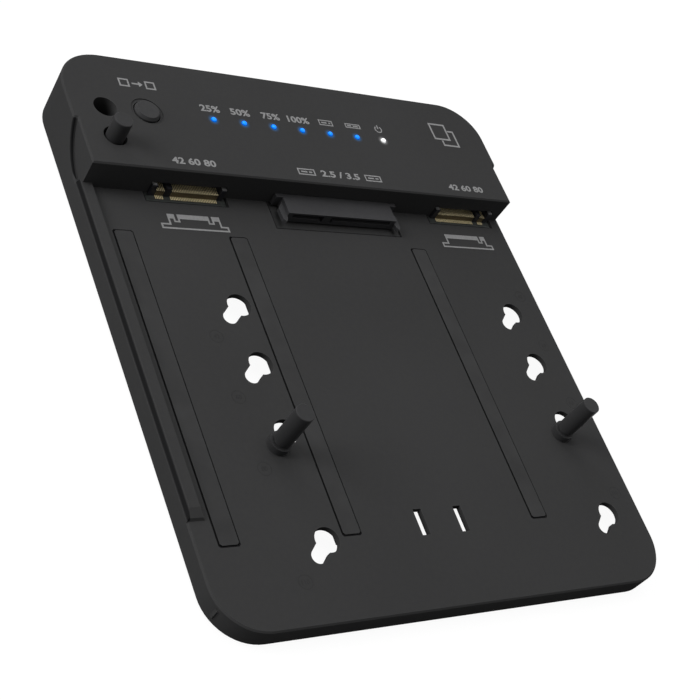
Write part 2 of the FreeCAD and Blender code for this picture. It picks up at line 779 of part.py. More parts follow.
# Lights: a small chip on the board and a guide up through the roof for each
light_z0 = board_top_z + chip_led_height + light_led_gap
guides = []
chips = []
for x in light_columns:
    half = light_block / 2
    block = box(x - half, x + half, feature_row_y - half, feature_row_y + half, light_z0, roof_z)
    guides.append(joined([block, prism(x, feature_row_y, light_radius, roof_z - 0.1, top_z)]))
    half = chip_led / 2
    chips.append(box(x - half, x + half, feature_row_y - half, feature_row_y + half,
                     board_top_z, board_top_z + chip_led_height))


def usb_port():
    """Oval metal shell, open at the rear face, and its tongue."""
    y1 = panel_y
    y0 = y1 - usb_depth
    z1 = usb_z0 + usb_height
    half = usb_width / 2
    outer = box(usb_x - half, usb_x + half, y0, y1, usb_z0, z1)
    along = [e for e in outer.Edges if abs(e.Vertexes[0].Y - e.Vertexes[1].Y) > 1]
    outer = outer.makeFillet(usb_height / 2 - 0.01, along)
    inner = box(usb_x - half + usb_shell, usb_x + half - usb_shell, y0 + usb_shell, y1 + 1,
                usb_z0 + usb_shell, z1 - usb_shell)
    along = [e for e in inner.Edges if abs(e.Vertexes[0].Y - e.Vertexes[1].Y) > 1]
    inner = inner.makeFillet(usb_height / 2 - usb_shell - 0.01, along)
    middle = (usb_z0 + z1) / 2
    tongue = box(usb_x - half + usb_tongue_side, usb_x + half - usb_tongue_side, y0 + usb_shell, y1 - 0.8,
                 middle - usb_tongue_thick / 2, middle + usb_tongue_thick / 2)
    return outer.cut(inner), tongue


usb_shell_solid, usb_tongue = usb_port()

# Power inlet with its centre pin
half = jack_width / 2
jack_mid_z = jack_z0 + jack_height / 2
jack = box(jack_x - half, jack_x + half, panel_y - jack_depth, panel_y, jack_z0, jack_z0 + jack_height)
bore_start = V(jack_x, panel_y - jack_bore_depth, jack_mid_z)
bore = Part.makeCylinder(jack_bore, jack_bore_depth, bore_start, V(0, 1, 0))
power_jack = jack.cut(bore)
jack_pin_solid = prism(0, 0, jack_pin, 0, jack_bore_depth - jack_pin_gap)
jack_pin_solid.rotate(V(0, 0, 0), V(1, 0, 0), -90)
jack_pin_solid.translate(bore_start)

# Power switch: a framed body and a rocker that swings on two short pins
half = rocker_width / 2
half_tall = rocker_height / 2
switch_body = box(rocker_x - half, rocker_x + half, panel_y - rocker_body_depth, panel_y,
                  panel_mid_z - half_tall, panel_mid_z + half_tall)
bezel = box(rocker_x - half - rocker_bezel, rocker_x + half + rocker_bezel, panel_y, panel_y + panel_recess - 0.3,
            panel_mid_z - half_tall - rocker_bezel, panel_mid_z + half_tall + rocker_bezel)
switch_body = joined([switch_body, bezel])
room_x = half - rocker_wall
room_z = half_tall - rocker_wall
switch_body = switch_body.cut(box(rocker_x - room_x, rocker_x + room_x, panel_y - rocker_cavity, half_depth,
                                  panel_mid_z - room_z, panel_mid_z + room_z))
pivot_y = panel_y - rocker_pivot_depth
pin_half = room_z + rocker_pivot_reach
hole_half = pin_half + rocker_pivot_gap
switch_body = switch_body.cut(cylinder(rocker_x, pivot_y, rocker_pivot_radius + rocker_pivot_gap,
                                       panel_mid_z - hole_half, panel_mid_z + hole_half))
rise = rocker_half_length * math.tan(math.radians(rocker_tilt))
long_half = rocker_half_length
outline = [(-long_half, rocker_front + rise), (0, rocker_front), (long_half, rocker_front + rise),
           (long_half, rocker_shoulder), (rocker_heel, -rocker_back), (-rocker_heel, -rocker_back),
           (-long_half, rocker_shoulder)]
cap_half = room_z - rocker_gap
cap = extruded([(rocker_x + u, pivot_y + v, panel_mid_z - cap_half) for u, v in outline], (0, 0, 2 * cap_half))
pins = cylinder(rocker_x, pivot_y, rocker_pivot_radius, panel_mid_z - pin_half, panel_mid_z + pin_half)
rocker = joined([cap, pins])
rocker.rotate(V(rocker_x, pivot_y, panel_mid_z), V(0, 0, 1), -rocker_tilt)


def on_board(x, y, size_x, size_y, height):
    low_y = y - size_y / 2
    return box(x - size_x / 2, x + size_x / 2, low_y, low_y + size_y, board_top_z, board_top_z + height)


case_screw_solids = []
for (x, y), roof in zip(case_screws, boss_roofs):
    seat_z = cover_bottom_z + screw_head_height
    head = cylinder(x, y, screw_head_radius, cover_bottom_z, seat_z)
    shank = prism(x, y, screw_shank_radius, seat_z - 0.1, min(seat_z + screw_length, roof - 0.2), 6)
    case_screw_solids.append(joined([head, shank]))
board_screw_solids = []
for x, y in board_screws:
    head = prism(x, y, screw_head_radius, board_top_z, board_top_z + screw_head_height, 6)
    shank = prism(x, y, screw_shank_radius, board_top_z - board_screw_length, board_top_z + 0.1, 6)
    board_screw_solids.append(joined([head, shank]))

os.makedirs("parts", exist_ok=True)
save("top_cover", [top_cover])
save("lower_cover", [lower_cover])
save("main_board", [main_board])
save("post_left", [post_left])
save("post_right", [post_right])
save("post_spare", [post_spare])
save("grip_strip_left", [strips[0]])
save("grip_strip_middle", [strips[1]])
save("grip_strip_right", [strips[2]])
save("front_feet", front_feet)
save("rear_feet", rear_feet)
save("module_socket_left", [socket_left])
save("module_socket_right", [socket_right])
save("module_contacts_left", contacts_left)
save("module_contacts_right", contacts_right)
save("socket_hold_downs", socket_tabs(left_column_x) + socket_tabs(right_column_x))
save("drive_receptacle", [receptacle])
save("receptacle_blades", blades)
save("clone_key", [clone_key])
save("clone_switch", [clone_switch])
save("clone_plunger", [clone_plunger])
save("light_guides_blue", guides[:-1])
save("light_guide_white", guides[-1:])
save("light_chips", chips)
save("usb_shell", [usb_shell_solid])
save("usb_tongue", [usb_tongue])
save("power_jack", [power_jack])
save("power_jack_pin", [jack_pin_solid])
save("power_switch_body", [switch_body])
save("power_rocker", [rocker])
chip = [controller_size, controller_size, controller_height]
coil = [inductor_size, inductor_size, inductor_height]
can_top_z = board_top_z + can_height
save("copy_controller", [on_board(controller_x, controller_y, *chip)])
save("bridge_controller", [on_board(bridge_x, controller_y, *chip)])
save("flash_memory", [on_board(flash_x, half_depth - flash_rear, flash_width, flash_depth, flash_height)])
save("crystal", [on_board(crystal_x, controller_y, crystal_width, crystal_depth, crystal_height)])
save("power_inductors", [on_board(x, inductor_y, *coil) for x in inductor_columns])
save("filter_capacitors", [prism(x, can_y, can_radius, board_top_z, can_top_z) for x in can_columns])
save("case_screws", case_screw_solids)
save("board_screws", board_screw_solids)
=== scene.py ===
import math

import bpy
import mathutils
import numpy as np
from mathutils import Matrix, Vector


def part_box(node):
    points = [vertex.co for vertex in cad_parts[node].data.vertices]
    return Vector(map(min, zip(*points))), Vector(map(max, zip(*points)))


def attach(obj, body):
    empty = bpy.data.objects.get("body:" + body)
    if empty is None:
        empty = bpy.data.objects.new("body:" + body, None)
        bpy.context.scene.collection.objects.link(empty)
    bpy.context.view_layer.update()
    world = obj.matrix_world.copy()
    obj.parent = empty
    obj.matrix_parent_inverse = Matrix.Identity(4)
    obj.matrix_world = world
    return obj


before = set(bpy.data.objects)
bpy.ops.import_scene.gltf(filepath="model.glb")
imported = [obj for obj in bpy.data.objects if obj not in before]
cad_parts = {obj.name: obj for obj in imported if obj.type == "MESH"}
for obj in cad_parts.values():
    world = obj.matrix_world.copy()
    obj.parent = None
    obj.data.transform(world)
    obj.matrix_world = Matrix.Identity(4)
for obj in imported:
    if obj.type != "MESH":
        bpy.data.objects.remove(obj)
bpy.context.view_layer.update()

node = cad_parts
MM = 0.001
skirt_height = 0.006
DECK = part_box("top_cover")[0][2] + skirt_height
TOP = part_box("top_cover")[1][2]


# Lower cover. Injection-moulded black ABS with a fine spark-eroded grain, lit only from below.
# The moulding material mixes two sizes of noise in the colour, a slow noise in the roughness, a fine
# grain in the bump, and a paler edge found by comparing the bevelled and the true normal: partly wear and
# partly a painted highlight on edges that the shapes leave sharp.
def shader(name):
    material = bpy.data.materials.new(name)
    material.use_nodes = True
    tree = material.node_tree
    return material, tree, tree.nodes["Principled BSDF"]


def add(tree, kind, inputs=None, **settings):
    made = tree.nodes.new(kind)
    for key, value in settings.items():
        setattr(made, key, value)
    for key, value in (inputs or {}).items():
        if isinstance(value, bpy.types.NodeSocket):
            tree.links.new(value, made.inputs[key])
        else:
            made.inputs[key].default_value = value
    return made


def maths(tree, operation, *values, clamp=False):
    made = add(tree, "ShaderNodeMath", dict(enumerate(values)), operation=operation, use_clamp=clamp)
    return made.outputs[0]


def split(tree, vector):
    return add(tree, "ShaderNodeSeparateXYZ", {"Vector": vector}).outputs


def own_place(tree):
    return add(tree, "ShaderNodeTexCoord").outputs["Object"]


def true_normal(tree):
    return add(tree, "ShaderNodeNewGeometry").outputs["True Normal"]


def noise(tree, scale, detail=3.0, stretch=(1.0, 1.0, 1.0)):
    place = own_place(tree)
    if stretch != (1.0, 1.0, 1.0):
        place = add(tree, "ShaderNodeMapping", {"Vector": place, "Scale": stretch}).outputs["Vector"]
    return add(tree, "ShaderNodeTexNoise", {"Vector": place, "Scale": scale, "Detail": detail}).outputs["Fac"]


def ranged(tree, value, low, high, start=0.3, end=0.7):
    made = add(tree, "ShaderNodeMapRange", {"Value": value, "From Min": start, "From Max": end,
                                            "To Min": low, "To Max": high})
    return made.outputs["Result"]


def mixed(tree, amount, first, second):
    made = add(tree, "ShaderNodeMix", data_type="RGBA")
    for key, value in ((0, amount), (6, first), (7, second)):
        if isinstance(value, bpy.types.NodeSocket):
            tree.links.new(value, made.inputs[key])
        else:
            made.inputs[key].default_value = value if key == 0 else (*value, 1.0)
    return made.outputs[2]


def bumped(tree, base, height, strength, depth):
    bump = add(tree, "ShaderNodeBump", {"Height": height, "Strength": strength, "Distance": depth})
    tree.links.new(bump.outputs["Normal"], base.inputs["Normal"])


def moulded(name, colour, roughness=0.5, grain=2600.0, depth=0.000012, tint=0.10, edge=0.35, specular=0.3):
    material, tree, base = shader(name)
    darker = tuple(c * (1 - tint) for c in colour)
    lighter = tuple(c * (1 + tint) for c in colour)
    wear_and_highlight_colour = tuple(c * (1 + edge) + 0.004 for c in colour)
    slow = ranged(tree, noise(tree, 16.0, 2.0), 0.0, 1.0)
    quick = ranged(tree, noise(tree, 900.0, 2.0), -0.25, 0.25)
    body = mixed(tree, maths(tree, "ADD", slow, quick, clamp=True), darker, lighter)
    # Paler edges: partly wear, partly a painted highlight standing in for the light on rounded edges
    round_normal = add(tree, "ShaderNodeBevel", {"Radius": 0.5 * MM}, samples=4).outputs["Normal"]
    turn = add(tree, "ShaderNodeVectorMath", {0: round_normal, 1: true_normal(tree)}, operation="DOT_PRODUCT")
    edge_wear_and_highlight = ranged(tree, turn.outputs["Value"], 0.55, 0.0, 0.82, 0.99)
    tree.links.new(mixed(tree, edge_wear_and_highlight, body, wear_and_highlight_colour), base.inputs["Base Color"])
    uneven = ranged(tree, noise(tree, 60.0, 4.0), roughness - 0.06, roughness + 0.06)
    tree.links.new(uneven, base.inputs["Roughness"])
    bumped(tree, base, noise(tree, grain, 3.0), 0.5, depth)
    base.inputs["Specular IOR Level"].default_value = specular
    return material


def dress(names, material):
    for name in names:
        piece = node[name]
        if not piece.material_slots:
            piece.data.materials.append(material)
        for place in piece.material_slots:
            place.material = material


dress(["lower_cover"], moulded("black_cover", (0.032, 0.032, 0.033), 0.58, 1800.0, 0.00002))


# Board. Glass-fibre laminate under black solder mask. The mask shows faint tracks as a fine grid of
# lines, in its colour and in the bump.
def laminate():
    material, tree, base = shader("solder_mask")
    tracks = add(tree, "ShaderNodeTexBrick", {
        "Vector": own_place(tree), "Scale": 260.0, "Mortar Size": 0.09, "Brick Width": 1.9,
        "Row Height": 0.32, "Mortar Smooth": 0.2}).outputs["Fac"]
    mask = mixed(tree, tracks, (0.023, 0.025, 0.024), (0.031, 0.035, 0.033))
    tree.links.new(mask, base.inputs["Base Color"])
    tree.links.new(ranged(tree, noise(tree, 500.0), 0.32, 0.45), base.inputs["Roughness"])
    bumped(tree, base, tracks, 0.4, 0.00002)
    return material


dress(["main_board"], laminate())


# Parts on the board. Epoxy packages, a tinned crystal can, ferrite inductors and aluminium capacitors.
# The metals are brushed: noise stretched along one axis turns the roughness and the bump.
def metal(name, colour, roughness=0.3, stretch=(1.0, 12.0, 1.0), scale=700.0, spread=0.12):
    material, tree, base = shader(name)
    base.inputs["Metallic"].default_value = 1.0
    brushed = noise(tree, scale, 3.0, stretch)
    dull = tuple(c * 0.78 for c in colour)
    patches = ranged(tree, noise(tree, 300.0, 4.0), 0.0, 1.0)
    tree.links.new(mixed(tree, patches, dull, colour), base.inputs["Base Color"])
    uneven = ranged(tree, brushed, roughness - spread / 2, roughness + spread / 2)
    tree.links.new(uneven, base.inputs["Roughness"])
    bumped(tree, base, brushed, 0.3, 0.00001)
    return material


tinned = metal("tinned_steel", (0.62, 0.62, 0.61), 0.34)
dress(["copy_controller", "bridge_controller", "flash_memory", "power_inductors"],
      moulded("epoxy_package", (0.02, 0.02, 0.021), 0.62, 3200.0, 0.00001))
dress(["crystal"], tinned)
dress(["filter_capacitors"], metal("can_aluminium", (0.78, 0.78, 0.79), 0.28, (1.0, 1.0, 14.0)))


# Module sockets. Glass-filled black nylon with gold-plated stepped contacts and tinned hold-downs.
# The gold is finely brushed along each contact. Its risers and flanks get a dark colour by the way they
# face, in place of the shade inside the socket.
dress(["module_socket_left", "module_socket_right"],
      moulded("socket_nylon", (0.016, 0.016, 0.019), 0.46, 3600.0, 0.00001, specular=0.1))
gold = metal("contact_gold", (1.0, 0.86, 0.52), 0.42, (1.0, 6.0, 1.0), 900.0, 0.1)
tree = gold.node_tree
base = tree.nodes["Principled BSDF"]
base.inputs["Metallic"].default_value = 0.45
plated = base.inputs["Base Color"].links[0].from_socket
facing = split(tree, true_normal(tree))
riser = ranged(tree, facing["Y"], 0.95, 0.0, -0.9, -0.3)
flank = ranged(tree, maths(tree, "ABSOLUTE", facing["X"]), 0.0, 0.95)
hidden = maths(tree, "MAXIMUM", riser, flank)
tree.links.new(mixed(tree, hidden, plated, (0.05, 0.034, 0.014)), base.inputs["Base Color"])
dress(["module_contacts_left", "module_contacts_right", "receptacle_blades"], gold)
dress(["socket_hold_downs"], metal("dull_tin", (0.3, 0.3, 0.3), 0.45))


# Drive receptacle. One moulding in black thermoplastic, slightly smoother than the case. Its gold blades
# are pressed into the tongue in two groups and share the contacts' material above.
dress(["drive_receptacle"],
      moulded("receptacle_plastic", (0.04, 0.04, 0.042), 0.44, 3000.0, 0.00001, specular=0.07))


# Key and its push switch. The key's cap is moulded in the case's plastic with a slightly finer, silkier
# grain. The plunger and the switch below it are plain black plastic that only shows with the case open.
dress(["clone_key"],
      moulded("key_cap", (0.041, 0.041, 0.042), 0.46, 3200.0, 0.000008, edge=0.3, specular=0.03))
dress(["clone_switch", "clone_plunger"], moulded("switch_plastic", (0.03, 0.03, 0.03), 0.55))


# Lights. Each guide is a clear pipe lit from its chip. Its end is evenly bright up to a small radius,
# and from there the light falls off in a straight line. The distance comes from object coordinates.
light_y = 62.75
light_pitch = 9.56
bright_radius, dim_radius = 0.55 * MM, 0.9 * MM


def from_light(tree):
    """Distance in the plan from the nearest light of the row, with x folded into one pitch; also x itself."""
    place = split(tree, own_place(tree))
    half = light_pitch / 2 * MM
    folded = maths(tree, "WRAP", place["X"], -half, half)
    across = maths(tree, "SUBTRACT", place["Y"], light_y * MM)
    flat = add(tree, "ShaderNodeCombineXYZ", {"X": folded, "Y": across})
    away = add(tree, "ShaderNodeVectorMath", {0: flat.outputs[0]}, operation="LENGTH").outputs["Value"]
    return away, place["X"]


def lit(name, middle, rim, strength):
    material, tree, base = shader(name)
    fade = ranged(tree, from_light(tree)[0], 1.0, 0.0, bright_radius, dim_radius)
    grain = ranged(tree, noise(tree, 2500.0, 2.0), 0.92, 1.08)
    unlit_rim = tuple(c * 0.5 for c in rim)
    tree.links.new(mixed(tree, fade, rim, middle), base.inputs["Emission Color"])
    tree.links.new(mixed(tree, fade, unlit_rim, middle), base.inputs["Base Color"])
    tree.links.new(maths(tree, "MULTIPLY", grain, strength), base.inputs["Emission Strength"])
    tree.links.new(ranged(tree, noise(tree, 400.0), 0.12, 0.22), base.inputs["Roughness"])
    base.inputs["Specular IOR Level"].default_value = 0.12
    return material


light_blue = lit("light_blue", (0.004, 0.2, 1.0), (0.0, 0.04, 0.16), 0.95)
light_white = lit("light_white", (0.85, 0.85, 0.85), (0.3, 0.305, 0.31), 0.95)
dress(["light_guides_blue"], light_blue)
dress(["light_guide_white"], light_white)
dress(["light_chips"], moulded("chip_resin", (0.62, 0.6, 0.5), 0.3))


# Rear inlets and the power switch. The data inlet is a shell drawn from steel strip round a moulded
# tongue, and the power inlet a moulded body round a tinned pin. The rocker is moulded a little smoother
# than its frame, with pale edges that are partly wear from fingers and partly a painted highlight.
dress(["usb_shell"], metal("drawn_steel", (0.66, 0.66, 0.67), 0.26, (1.0, 14.0, 1.0)))
dress(["usb_tongue", "power_jack"],
      moulded("inlet_plastic", (0.015, 0.015, 0.016), 0.4, 3000.0, 0.000008))
dress(["power_jack_pin"], tinned)
dress(["power_switch_body"], moulded("switch_frame", (0.02, 0.02, 0.021), 0.38, 3000.0, 0.000006))
dress(["power_rocker"], moulded("rocker_cap", (0.018, 0.018, 0.019), 0.3, 3000.0, 0.000005, edge=0.6))


# Top cover. One injection moulding in the same ABS as the lower cover, with an even matt grain on every
# outer face. Its specular level is nought, set to match the photograph's brightness.
case_black = moulded("case_black", (0.042, 0.042, 0.0425), 0.56, 2400.0, 0.000014, tint=0.05, edge=0.25,
                     specular=0.0)
dress(["top_cover"], case_black)
tree = case_black.node_tree
base = tree.nodes["Principled BSDF"]

# The lights' faint glow on the plastic round them, as emission of the case: blue for six, white for the last
spill_start, spill_end = 0.85 * MM, 2.0 * MM
away, sideways = from_light(tree)
spill = maths(tree, "POWER", ranged(tree, away, 1.0, 0.0, spill_start, spill_end), 2.0)
in_row = maths(tree, "LESS_THAN", maths(tree, "ABSOLUTE", sideways), 3.5 * light_pitch * MM)
last = maths(tree, "GREATER_THAN", sideways, 2.5 * light_pitch * MM)
tree.links.new(mixed(tree, last, (0.0, 0.085, 0.24), (0.2, 0.2, 0.2)), base.inputs["Emission Color"])
tree.links.new(maths(tree, "MULTIPLY", spill, in_row), base.inputs["Emission Strength"])

# The photograph shows a dark line along the slope on the rail's outer side and the edge of the hollow
# beside the housing. Here it is a dark stripe in the colour, placed by object coordinates.
# The stripe is painted shade: it stands in for the shade in a crease that the case's shape lacks
slope_x, slope_end_y = -70.05, 58.0
dark_half, fade_half = 0.22, 0.43
spot = split(tree, own_place(tree))
aside = maths(tree, "ABSOLUTE", maths(tree, "SUBTRACT", spot["X"], slope_x * MM))
dull = ranged(tree, aside, 1.0, 0.0, dark_half * MM, fade_half * MM)
dull = maths(tree, "MULTIPLY", dull, maths(tree, "LESS_THAN", spot["Y"], slope_end_y * MM))
dull = maths(tree, "MULTIPLY", dull, maths(tree, "GREATER_THAN", spot["Z"], DECK + 0.05 * MM))
plain = base.inputs["Base Color"].links[0].from_socket
tree.links.new(mixed(tree, dull, plain, (0.012, 0.012, 0.0125)), base.inputs["Base Color"])


# Lens ends of the light pipes. The clear plastic is taken as crowned above the housing, a guess from the
# round look of the lights in the photograph. Like the printing, the marks and the lines further on, they
# are meshes of their own that ride on a body of the frame.
def piece(name, corners, faces, material, body="dock", slot="case_plastic", smooth=False):
    mesh = bpy.data.meshes.new(name)
    mesh.from_pydata(np.asarray(corners, dtype=float).tolist(), [], [list(map(int, f)) for f in faces])
    mesh.validate()
    mesh.materials.append(material)
    mesh.polygons.foreach_set("use_smooth", np.full(len(mesh.polygons), smooth))
    made = bpy.data.objects.new(name, mesh)
    bpy.context.scene.collection.objects.link(made)
    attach(made, body)
    return made


def crowns(name, columns, material, slot):
    """Ring a of each crown is (column + radius sin a cos t, light_y + radius sin a sin t, top + rise cos a),
    with t once round and a from 90 degrees at the housing to 15 degrees at the flat lid."""
    radius, rise = 0.8, 0.6
    around, rings = 24, 6
    turn = np.arange(around) * 2 * np.pi / around
    tilt = np.linspace(np.pi / 2, np.pi / 12, rings)
    shape = (len(columns), rings, around)
    x = np.asarray(columns)[:, None, None] + radius * np.sin(tilt)[:, None] * np.cos(turn)
    y = np.broadcast_to(light_y + radius * np.sin(tilt)[:, None] * np.sin(turn), shape)
    z = np.broadcast_to(TOP / MM + rise * np.cos(tilt)[:, None], shape)
    corners = np.stack([x, y, z], -1).reshape(-1, 3) * MM
    here = np.arange(around)
    after = (here + 1) % around
    low = around * np.arange(rings - 1)[:, None]
    wall = np.stack([low + here, low + after, low + after + around, low + here + around], -1).reshape(-1, 4)
    first = around * rings * np.arange(len(columns))
    walls = (first[:, None, None] + wall).reshape(-1, 4)
    lids = first[:, None] + around * (rings - 1) + here
    bases = first[:, None] + here[::-1]
    return piece(name, corners, [*walls, *lids, *bases], material, slot=slot, smooth=True)


crowns("lens_crowns_blue", light_pitch * np.arange(-3.0, 3.0), light_blue, "light_blue")
crowns("lens_crown_white", light_pitch * np.arange(3.0, 4.0), light_white, "light_clear")


# Printing on the housing and the deck. Grey pad-printed ink, a film 0.02 mm thick that lies on the plastic.
# Plates are built from lists of rectangles: eight corners for each one, low ones first, all in one mesh.
film = 0.02


def ink(name, colour, patchy=0.12):
    material, tree, base = shader(name)
    thin = tuple(c * (1 - patchy) for c in colour)
    full = tuple(c * (1 + patchy * 0.6) for c in colour)
    patches = ranged(tree, noise(tree, 1900.0, 4.0), 0.0, 1.0)
    tree.links.new(mixed(tree, patches, thin, full), base.inputs["Base Color"])
    tree.links.new(ranged(tree, noise(tree, 700.0), 0.5, 0.66), base.inputs["Roughness"])
    bumped(tree, base, noise(tree, 2400.0), 0.4, 0.000008)
    base.inputs["Specular IOR Level"].default_value = 0.25
    return material


def plates(name, rows, floor, material, thick=film, **ways):
    """Corner k of a plate is (x[k & 1], y[k >> 1 & 1], floor + thick * (k >> 2)), for rows of x0, x1, y0, y1
    in mm."""
    rows = np.asarray(rows, dtype=float)
    k = np.arange(8)
    x = np.where(k & 1, rows[:, 1:2], rows[:, 0:1])
    y = np.where(k >> 1 & 1, rows[:, 3:4], rows[:, 2:3])
    z = np.broadcast_to(floor / MM + thick * (k >> 2), x.shape)
    corners = np.stack([x, y, z], -1).reshape(-1, 3) * MM
    block = np.array([[4, 5, 7, 6], [0, 2, 3, 1], [0, 1, 5, 4], [1, 3, 7, 5], [3, 2, 6, 7], [2, 0, 4, 6]])
    faces = (block[None] + 8 * np.arange(len(rows))[:, None, None]).reshape(-1, 4)
    return piece(name, corners, faces, material, **ways)


def frame_rows(x0, x1, y0, y1, line):
    """Four plates round the inside of a rectangle, as wide as the line."""
    return [(x0, x1, y0, y0 + line), (x0, x1, y1 - line, y1), (x0, x0 + line, y0 + line, y1 - line),
            (x1 - line, x1, y0 + line, y1 - line)]


def figures(name, words, x0, x1, y0, y1, floor, material):
    """Number outlines, drawn a little bold and scaled so that they fill x0..x1 and y0..y1 in mm."""
    curve = bpy.data.curves.new(name, "FONT")
    curve.body = words
    curve.extrude = 0.01
    curve.offset = 0.03
    curve.resolution_u = 3
    holder = bpy.data.objects.new(name + "_curve", curve)
    bpy.context.scene.collection.objects.link(holder)
    bpy.context.view_layer.update()
    drawn = bpy.data.meshes.new_from_object(holder.evaluated_get(bpy.context.evaluated_depsgraph_get()))
    bpy.data.objects.remove(holder)
    bpy.data.curves.remove(curve)
    corners = np.empty(len(drawn.vertices) * 3)
    drawn.vertices.foreach_get("co", corners)
    corners = corners.reshape(-1, 3)
    faces = [tuple(p.vertices) for p in drawn.polygons]
    bpy.data.meshes.remove(drawn)
    low, high = corners.min(0), corners.max(0)
    share = (corners - low) / (high - low)
    middle = np.array([(x0 + x1) / 2, (y0 + y1) / 2])
    plan = (share[:, :2] - 0.5) * [x1 - x0, y1 - y0] + middle
    z = floor / MM + share[:, 2] * film
    return piece(name, np.column_stack([plan, z]) * MM, faces, material)


def ring(name, x, y, inner, outer, floor, material, thick=film, start=0.0, sweep=360.0, sides=48, axes=None,
         **ways):
    """Flat ring or part of one: corners at (x + r cos a, y + r sin a) for r inner and outer, low and high.
    Rows of axes, if given, are an origin and three directions, and a corner p lies at
    origin + p @ directions."""
    a = np.radians(start + sweep * np.arange(sides + 1) / sides)
    low, high = floor / MM, floor / MM + thick
    r = np.array([inner, outer, outer, inner])
    z = np.broadcast_to(np.array([low, low, high, high]), (sides + 1, 4))
    corners = np.stack([x + r * np.cos(a)[:, None], y + r * np.sin(a)[:, None], z], -1).reshape(-1, 3)
    if axes is not None:
        corners = axes[0] + corners @ axes[1:]
    i = 4 * np.arange(sides)[:, None]
    walls = np.concatenate([np.column_stack([i + k, i + (k + 1) % 4, i + 4 + (k + 1) % 4, i + 4 + k])
                            for k in range(4)])
    faces = [tuple(w) for w in walls[:, ::-1]]
    if sweep < 360.0:
        end = 4 * sides
        faces += [(0, 1, 2, 3), (end + 3, end + 2, end + 1, end)]
    return piece(name, corners * MM, faces, material, **ways)


# Levels over the first four lights
grey_ink = ink("grey_ink", (0.215, 0.215, 0.217))
level_low, level_high = 65.6, 68.0
for words, middle, width in (("25%", -28.6, 6.1), ("50%", -19.1, 6.2), ("75%", -9.2, 6.0), ("100%", 0.1, 7.3)):
    figures("ink_level_" + words[:-1], words, middle - width / 2, middle + width / 2, level_low, level_high,
            TOP, grey_ink)

# Plain signs take the place of words: a drive and a module over the two activity lights, a power sign
drive_sign = frame_rows(7.3, 12.1, 66.0, 68.1, 0.35) + [(8.2, 10.0, 66.8, 67.3), (10.7, 11.3, 66.8, 67.3)]
module_sign = frame_rows(16.6, 22.0, 66.3, 68.0, 0.35) + [(17.4, 18.8, 66.9, 67.4), (19.4, 21.2, 66.9, 67.4)]
plates("ink_drive_light", drive_sign, TOP, grey_ink)
plates("ink_module_light", module_sign, TOP, grey_ink)
ring("ink_power_ring", 28.7, 67.15, 0.95, 1.35, TOP, grey_ink, start=125.0, sweep=290.0, sides=30)
plates("ink_power_bar", [(28.5, 28.9, 67.3, 68.8)], TOP, grey_ink)

# Sign by the key: one sheet, an arrow and a second sheet, for copying
arrow_row, shaft_half, head_half = 72.5, 0.25, 0.95
shaft_start, head_start, head_tip = -50.2, -48.2, -47.0
copy_sheets = frame_rows(-54.0, -51.0, 71.1, 73.9, 0.45) + frame_rows(-46.3, -43.3, 71.1, 73.9, 0.45)
shaft = (shaft_start, head_start, arrow_row - shaft_half, arrow_row + shaft_half)
plates("ink_copy_sheets", copy_sheets + [shaft], TOP, grey_ink)
head = ((head_start, arrow_row - head_half), (head_tip, arrow_row), (head_start, arrow_row + head_half))
piece("ink_copy_arrow", [(x * MM, y * MM, TOP + z * MM) for z in (0.0, film) for x, y in head],
      [(0, 2, 1), (3, 4, 5), (0, 1, 4, 3), (1, 2, 5, 4), (2, 0, 3, 5)], grey_ink)

# Numbers by the three connectors: the module lengths, and the two drive widths between drive signs
figures("ink_lengths_left", "42 60 80", -46.5, -33.5, 45.4, 47.7, TOP, grey_ink)
figures("ink_lengths_right", "42 60 80", 46.1, 59.6, 45.7, 48.0, TOP, grey_ink)
figures("ink_drive_sizes", "2.5 / 3.5", 0.2, 13.4, 45.9, 48.2, TOP, grey_ink)
drive_signs = frame_rows(-7.5, -1.8, 45.9, 48.2, 0.4) + frame_rows(15.4, 21.1, 45.9, 48.2, 0.4)
drive_signs += [(x0, x1, 46.8, 47.3) for x0, x1 in ((-6.4, -4.4), (-3.8, -2.8), (16.5, 18.5), (19.1, 20.1))]
plates("ink_drive_signs", drive_signs, TOP, grey_ink)

# Sign near the right rear corner: two overlapping sheets
front_sheet = [(52.6, 59.0, 63.8, 64.4), (58.4, 59.0, 64.4, 70.4), (52.6, 53.2, 64.4, 66.0),
               (56.6, 58.4, 69.8, 70.4)]
plates("ink_two_sheets", frame_rows(50.0, 56.4, 66.2, 72.8, 0.6) + front_sheet, TOP, grey_ink)

# Marks on the power switch: a bar on the half that lies level and a ring on the half that stands out.
# The standing half is the line from (-4.25, 3.11) to (0.24, 1.99) mm beside the rocker's pivot.
pivot = np.array([17.0, 78.35, 8.8])
half_middle = np.array([-2.0, 2.546, 0.0])
bar_floor, bar_height = 7.7 * MM, 2.2
plates("ink_switch_bar", [(19.35, 19.75, 80.335, 80.35)], bar_floor, grey_ink, thick=bar_height,
       body="power_rocker")
lean = math.radians(14.0)
across = np.array([math.cos(lean), -math.sin(lean), 0.0])
outward = np.array([math.sin(lean), math.cos(lean), 0.0])
ring_axes = np.array([pivot + half_middle, -across, [0.0, 0.0, 1.0], outward])
ring("ink_switch_ring", 0.0, 0.0, 0.75, 1.1, 0.0, grey_ink, thick=0.015, sides=32, axes=ring_axes,
     body="power_rocker")


